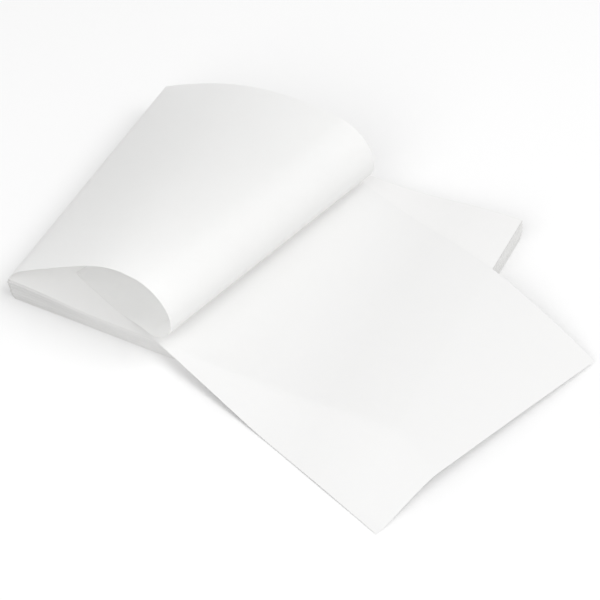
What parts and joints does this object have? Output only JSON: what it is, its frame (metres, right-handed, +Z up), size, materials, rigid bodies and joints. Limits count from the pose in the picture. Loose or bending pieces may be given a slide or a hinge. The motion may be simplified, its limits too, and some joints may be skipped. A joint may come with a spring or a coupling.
{
  "type": "fan-fold thermal paper stack",
  "caption": "Stack of blank fan-fold thermal paper: a page arches up from the left fold, and the last page lies spread over the stack and off its near right corner.",
  "frame": {"origin": "middle of the closed stack's base, on the table", "axes": "+X along the page length, towards the end that the loose page hangs over; +Y along the folds, away from the side that the loose page hangs over; +Z up"},
  "size_m": [0.3882, 0.2985, 0.0813],
  "materials": {
    "paper": "satin"
  },
  "bodies": {
    "root": {"fan_fold_stack": "paper"}
  },
  "joints": []
}
